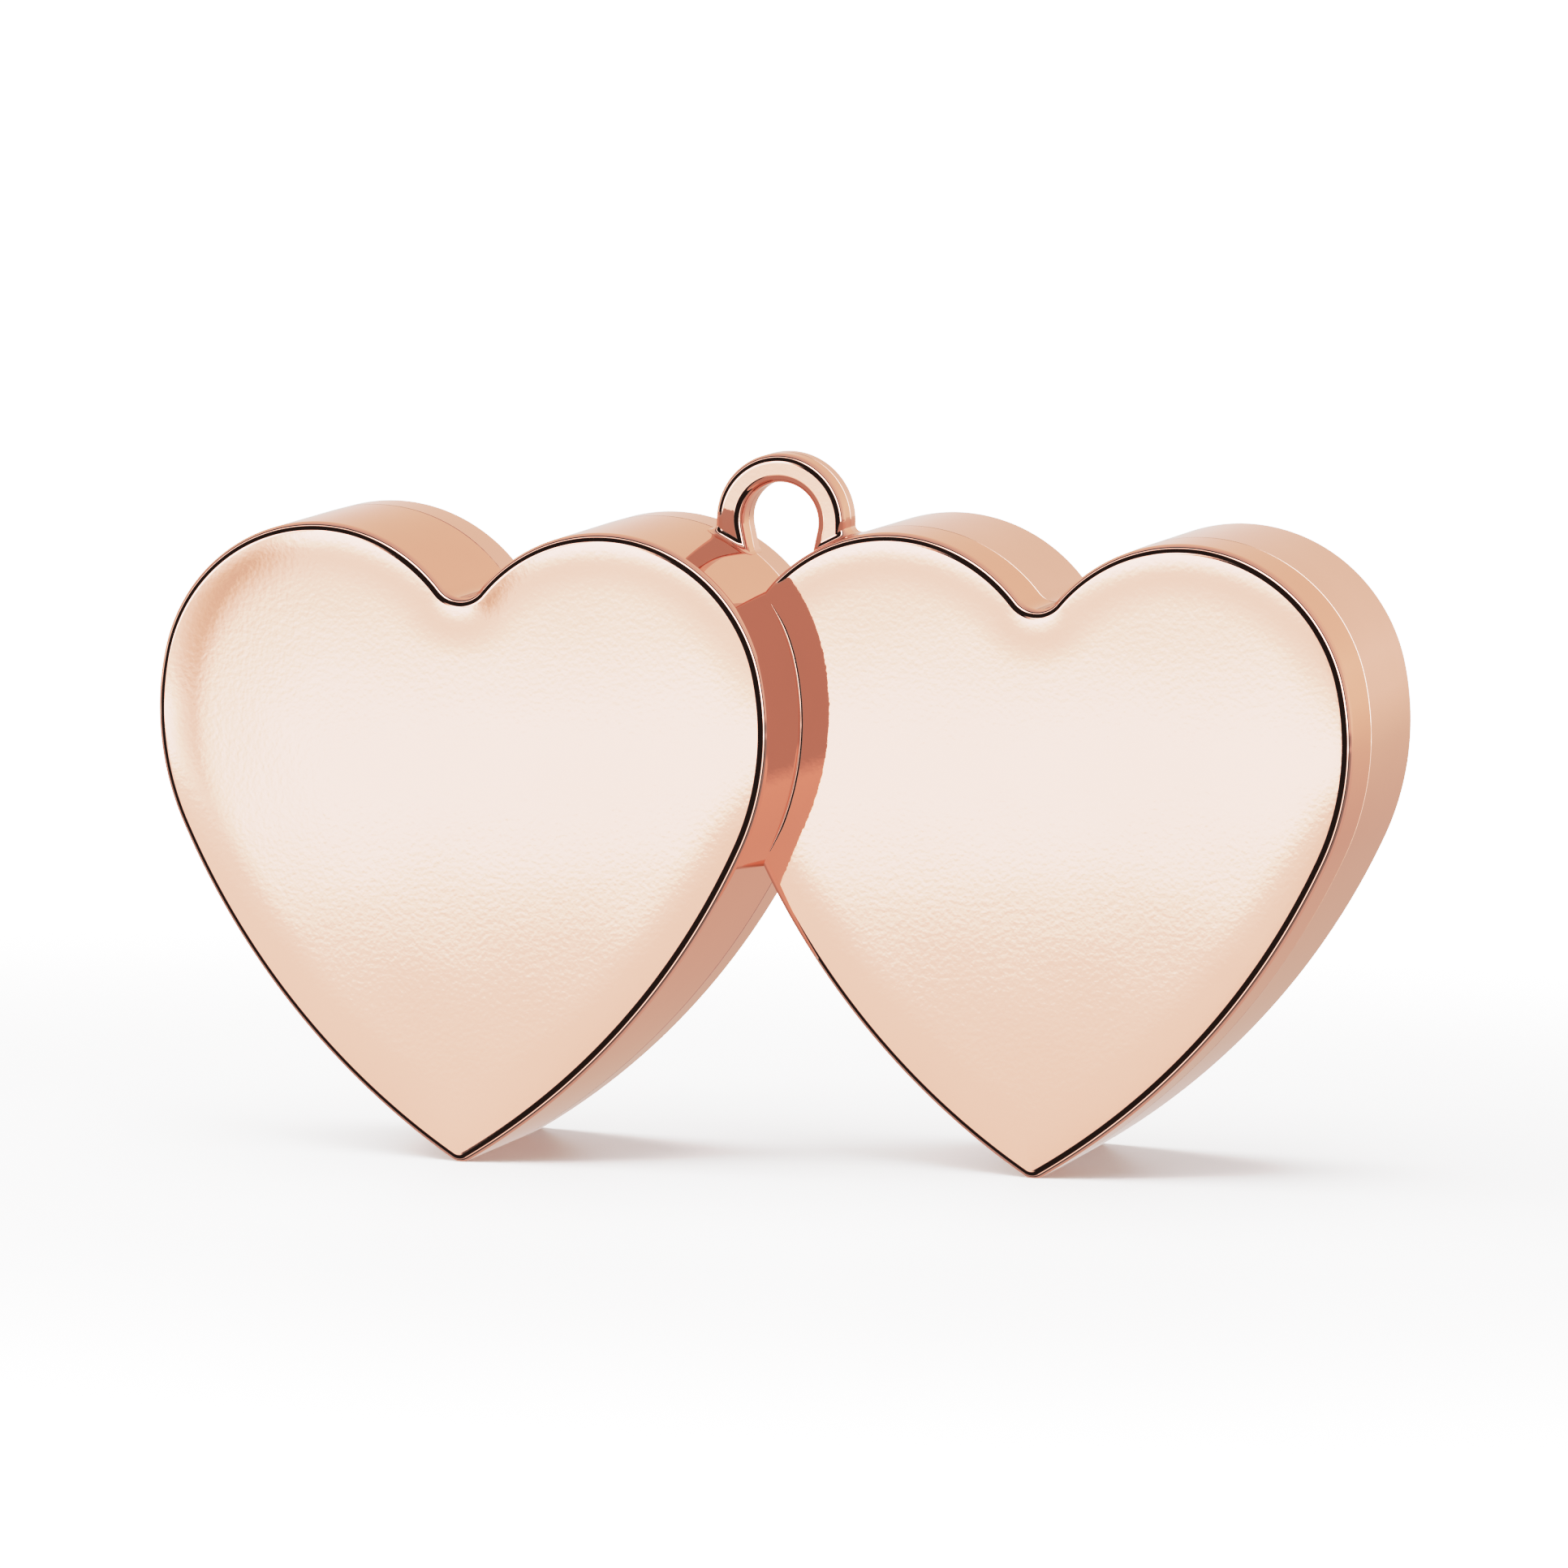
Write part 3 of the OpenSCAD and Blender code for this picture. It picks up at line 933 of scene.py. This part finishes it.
def studio_world(stage):
    """The studio as polished metal sees it: a bright opening that the faces mirror, with
    dark walls round it, a lit line in those, and a plain grey-white end at the back."""
    world = bpy.data.worlds.new("Studio")
    bpy.context.scene.world = world
    world.use_nodes = True
    tree = world.node_tree
    tree.nodes.clear()
    link = tree.links.new
    out = tree_node(tree, "ShaderNodeOutputWorld", (1500, 0))
    where = tree_node(tree, "ShaderNodeTexCoord", (-2400, 0))
    split = tree_node(tree, "ShaderNodeSeparateXYZ", (-2200, 0))
    link(where.outputs["Generated"], split.inputs["Vector"])
    x, y, z = split.outputs

    def maths(operation, a, b=None, place=(0, 0)):
        return math_node(tree, operation, a, b, place)

    def degrees(value, place):
        return maths("MULTIPLY", value, 180 / math.pi, place)

    def blend(a, b, share, place):
        """a where share is 0 and b where it is 1."""
        node = tree_node(tree, "ShaderNodeMix", place, data_type="FLOAT")
        for i, value in ((0, share), (2, a), (3, b)):
            feed(tree, node.inputs[i], value)
        return node.outputs[0]

    def step(value, low, high, place):
        return map_range(tree, value, low, high, place, interpolation_type="SMOOTHSTEP")

    # the opening's middle, and the two ways across it
    middle = Vector((-0.3131, -0.9408, -0.1292)).normalized()
    across = Vector((-middle.y, middle.x, 0)).normalized()

    def along(way, place):
        node = tree_node(tree, "ShaderNodeVectorMath", place, operation="DOT_PRODUCT")
        link(where.outputs["Generated"], node.inputs[0])
        node.inputs[1].default_value = way
        return node.outputs["Value"]

    out_angle = degrees(maths("ARCCOSINE", along(middle, (-2000, 600)), None, (-1800, 600)),
                        (-1600, 600))
    sideways = maths("DIVIDE", along(across, (-2000, 400)),
                     maths("SINE", maths("MULTIPLY", out_angle, math.pi / 180, (-1400, 500)),
                           None, (-1200, 500)), (-1000, 450))
    to_right = step(sideways, 0.0, 0.45, (-800, 450))
    heading = degrees(maths("ARCTAN2", x, maths("MULTIPLY", y, -1.0, (-2000, 0)),
                            (-1800, 0)), (-1600, 0))
    height = degrees(maths("ARCSINE", z, None, (-1800, -200)), (-1600, -200))

    right = curve(tree, out_angle, ((0, 1), (7, 1), (7.6, 0), (68, 0), (70, 1.7),
                                    (82, 1.7), (84, 0), (92, 0), (95, .3), (180, .3)),
                  (-1000, 800))
    left = curve(tree, out_angle, ((0, 1), (26, 1.15), (28, 0), (72, 0), (74, .8),
                                   (80, .8), (82, 0), (92, 0), (96, .25), (180, .25)),
                 (-1000, 1100))
    rings = blend(left, right, to_right, (-300, 900))
    level = curve(tree, height, ((-90, .4), (-30, .45), (-12, .52), (-9.3, .55), (-8.7, .55),
                                 (-8.35, .62), (-7.95, .84), (-7.6, 1), (-7.15, 1), (-6.7, .82),
                                 (-6.3, .7), (-5.2, .6), (-4, .65), (-2.6, 1.1), (90, 1.1)),
                  (-1000, 100), 90.0)
    side = curve(tree, heading, ((-180, 1), (-34, 1), (-26, 1.05), (-24.2, .75), (-22.7, .55),
                                 (-21.9, .62), (-21.3, 1), (180, 1)), (-1000, -100))
    side = blend(1.0, side, step(height, -8.8, -7.2, (-600, -100)), (-400, -100))
    brightest, darkest = 2.3, 0.018
    opening = maths("MULTIPLY", rings, maths("MULTIPLY", level, side, (-300, 0)), (-100, 400))
    opening = maths("MULTIPLY", opening, brightest, (50, 400))
    opening = maths("MAXIMUM", opening, darkest, (100, 400))
    end = curve(tree, height, ((-90, .5), (-35, .67), (-16, .68), (-8, .8), (-2, .98),
                               (4, 1.02), (10, .96), (20, .9), (40, .86), (90, .6)),
                (-1000, -300), 90.0)
    first = blend(opening, end, step(y, 0.22, 0.34, (-300, -300)), (300, 200))
    # what metal shows of other metal: the dim half of the room
    path = tree_node(tree, "ShaderNodeLightPath", (300, 600))
    # the depth counts the camera's own ray, so a second reflection is the third
    again = maths("GREATER_THAN", path.outputs["Ray Depth"], 2.5, (500, 500))
    dim = curve(tree, height, ((-90, .9), (-20, .9), (-14, 1.0), (-12, .62), (90, .62)),
                (-100, -500), 90.0)
    second = blend(dim, end, step(y, -0.3, 0.3, (300, -500)), (500, -300))
    total = blend(first, second, again, (800, 200))
    studio = tree_node(tree, "ShaderNodeBackground", (1000, 100))
    link(total, studio.inputs["Strength"])
    # the dimmer parts of the room are the warmer ones
    warm, bright, cool = (1.065, 0.98, 0.95, 1), (1.0, 1.0, 1.05, 1), (0.93, 1.12, 1.2, 1)
    tone = mix_colours(tree, step(total, 0.9, 2.6, (600, 400)), warm, bright, (800, 400))
    link(mix_colours(tree, again, tone, cool, (1000, 400)), studio.inputs["Color"])
    plain = tree_node(tree, "ShaderNodeBackground", (1000, -100), Strength=stage.backdrop)
    mix = tree_node(tree, "ShaderNodeMixShader", (1250, 0))
    link(path.outputs["Is Camera Ray"], mix.inputs["Fac"])
    link(studio.outputs[0], mix.inputs[1])
    link(plain.outputs[0], mix.inputs[2])
    link(mix.outputs[0], out.inputs["Surface"])


def floor_material(stage):
    """A white floor that fades into the background away from the object."""
    material, tree, shader = new_material("Pale Floor")
    link = tree.links.new
    shader.inputs["Roughness"].default_value = 0.3
    shader.inputs["Specular IOR Level"].default_value = 0.7
    grain = noise(tree, millimetres(tree), 3.0, (-700, 300), Detail=4.0)
    tone = mix_colours(tree, grain, (*stage.floor, 1), (*[0.99 * c for c in stage.floor], 1),
                       (-400, 300))
    link(tone, shader.inputs["Base Color"])
    # the fade runs between these distances, and further out to the sides
    near_end, far_end = 0.06, 0.17
    where = tree_node(tree, "ShaderNodeNewGeometry", (-1100, -300))
    flat = tree_node(tree, "ShaderNodeMapping", (-900, -300))
    flat.inputs["Scale"].default_value = (0.7, 1, 1)
    link(where.outputs["Position"], flat.inputs["Vector"])
    far = tree_node(tree, "ShaderNodeVectorMath", (-700, -300), operation="LENGTH")
    link(flat.outputs["Vector"], far.inputs[0])
    fade = map_range(tree, far.outputs["Value"], near_end, far_end, (-500, -300),
                     interpolation_type="SMOOTHSTEP")
    path = tree_node(tree, "ShaderNodeLightPath", (-500, -600))
    share = math_node(tree, "MULTIPLY", fade, path.outputs["Is Camera Ray"], (-250, -400))
    lit = tree_node(tree, "ShaderNodeEmission", (0, -400), Strength=stage.backdrop)
    mix = tree_node(tree, "ShaderNodeMixShader", (300, 0))
    out = next(n for n in tree.nodes if n.type == "OUTPUT_MATERIAL")
    link(share, mix.inputs["Fac"])
    link(shader.outputs[0], mix.inputs[1])
    link(lit.outputs[0], mix.inputs[2])
    link(mix.outputs[0], out.inputs["Surface"])
    return material


def area_light(name, energy, size, place):
    """A light that lights plain surfaces only, aimed at the object's foot."""
    data = bpy.data.lights.new(name, "AREA")
    data.energy, data.shape, data.size, data.size_y = energy, "RECTANGLE", *size
    light = bpy.data.objects.new(name, data)
    bpy.context.scene.collection.objects.link(light)
    light.location = place
    light.rotation_euler = (-Vector(place)).to_track_quat("-Z", "Y").to_euler()
    light.visible_camera = False
    light.visible_glossy = False
    return light


def film_curve(scene):
    """A gentle shoulder, so that bright metal pales as it does on film."""
    view = scene.view_settings
    view.view_transform = "Standard"
    view.look = "None"
    view.use_curve_mapping = True
    curves = view.curve_mapping
    top = 4.0
    curves.white_level = (top, top, top)
    line = curves.curves[3]
    line.points[0].location = (0.0, 0.0)
    line.points[1].location = (1.0, 1.0)
    for x, y in ((0.3, 0.27), (0.55, 0.54), (0.8, 0.70), (0.93, 0.76), (1.22, 0.825),
                 (1.8, 0.89), (2.4, 0.925), (3.2, 0.96)):
        line.points.new(x / top, y)
    curves.update()


# ---------------------------------------------------------------- operators

class HEARTWEIGHT_OT_shells(Operator):
    """Build both metallised shells, with their halves of the ribbon ring"""
    bl_idname = "heart_weight.shells"
    bl_label = "Front and Rear Shells"

    def execute(self, context):
        plan = Plan(context.scene.weight_sizes)
        finish = context.scene.weight_finish
        body, sources = closed_body(plan)
        bare = bare_plastic(finish)
        # the rear shell's paler tint is painted reflection, not a different coat
        for name, coat, side, details, node, tint in (
                ("front_outside", "Front Rose Gold", -1, front_details, "front_shell",
                 finish.front_gold),
                ("rear_outside", "Rear Rose Gold", 1, rear_details, "rear_shell",
                 finish.rear_gold_painted_reflection)):
            shell = shell_half(plan, body, name, side)
            details(plan, shell)
            skin = metallised_skin(coat, tint, finish)
            dress(shell, sources, [skin, bare])
            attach(shell, "root")
            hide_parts(node)
        drop(body)
        return {"FINISHED"}


class HEARTWEIGHT_OT_plug(Operator):
    """Finish the filling plug in satin plastic"""
    bl_idname = "heart_weight.plug"
    bl_label = "Filling Plug"

    def execute(self, context):
        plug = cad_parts["filling_plug"]
        plug.data.materials.clear()
        plug.data.materials.append(plug_plastic(context.scene.weight_finish))
        return {"FINISHED"}


class HEARTWEIGHT_OT_sand(Operator):
    """Finish the filling as dry sand"""
    bl_idname = "heart_weight.sand"
    bl_label = "Sand Filling"

    def execute(self, context):
        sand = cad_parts["sand_filling"]
        sand.data.materials.clear()
        sand.data.materials.append(dry_sand(context.scene.weight_finish))
        return {"FINISHED"}


class HEARTWEIGHT_OT_stage(Operator):
    """Set out the floor, the light and the camera"""
    bl_idname = "heart_weight.stage"
    bl_label = "Stage"

    def execute(self, context):
        scene = context.scene
        stage = scene.weight_stage
        half = 6.0
        floor = new_object("floor", [(-half, -half, 0), (half, -half, 0), (half, half, 0),
                                     (-half, half, 0)], [(0, 1, 2, 3)], 0)
        floor.data.materials.clear()
        floor.data.materials.append(floor_material(stage))
        # the world stands in for the floor in the metal, down to the horizon and below
        floor.visible_glossy = False
        studio_world(stage)
        area_light("overhead", stage.overhead, (1.6, 1.6), (-0.3, -0.1, 1.3))
        area_light("front left", stage.fill, (1.2, 0.8), (-1.1, -1.3, 0.9))
        film_curve(scene)

        az, el = stage.azimuth, stage.elevation
        back = Vector((math.sin(az) * math.cos(el), -math.cos(az) * math.cos(el),
                       math.sin(el)))
        right = Vector((math.cos(az), math.sin(az), 0))
        up = back.cross(right)
        turned = right * math.cos(stage.roll) + up * math.sin(stage.roll)
        over = back.cross(turned)
        data = bpy.data.cameras.new("camera")
        data.lens, data.sensor_width, data.sensor_fit = stage.lens, 36.0, "HORIZONTAL"
        data.clip_start, data.clip_end = 0.01, 50.0
        camera = bpy.data.objects.new("camera", data)
        scene.collection.objects.link(camera)
        camera.matrix_world = Matrix.Translation(Vector(stage.aim) + back * stage.distance) @ \
            Matrix((turned, over, back)).transposed().to_4x4()
        scene.camera = camera
        return {"FINISHED"}


class HEARTWEIGHT_PT_panel(Panel):
    """Lists the sizes, the finishes and the pieces of the balloon weight"""
    bl_label = "Heart Weight"
    bl_idname = "HEARTWEIGHT_PT_panel"
    bl_space_type = "VIEW_3D"
    bl_region_type = "UI"
    bl_category = "Heart Weight"

    def draw(self, context):
        layout = self.layout
        for group in (context.scene.weight_sizes, context.scene.weight_finish,
                      context.scene.weight_stage):
            box = layout.box()
            for key in group.bl_rna.properties.keys():
                if key not in ("rna_type", "name"):
                    box.prop(group, key)
        for operator in OPERATORS:
            layout.operator(operator.bl_idname)


OPERATORS = (HEARTWEIGHT_OT_shells, HEARTWEIGHT_OT_plug, HEARTWEIGHT_OT_sand,
             HEARTWEIGHT_OT_stage)
CLASSES = (WeightSizes, WeightFinish, WeightStage, *OPERATORS, HEARTWEIGHT_PT_panel)


def register():
    for cls in CLASSES:
        bpy.utils.register_class(cls)
    bpy.types.Scene.weight_sizes = PointerProperty(type=WeightSizes)
    bpy.types.Scene.weight_finish = PointerProperty(type=WeightFinish)
    bpy.types.Scene.weight_stage = PointerProperty(type=WeightStage)


def unregister():
    del bpy.types.Scene.weight_stage
    del bpy.types.Scene.weight_finish
    del bpy.types.Scene.weight_sizes
    for cls in reversed(CLASSES):
        bpy.utils.unregister_class(cls)


def main():
    register()
    bpy.ops.heart_weight.shells()
    bpy.ops.heart_weight.plug()
    bpy.ops.heart_weight.sand()
    bpy.ops.heart_weight.stage()


if __name__ == "__main__":
    main()
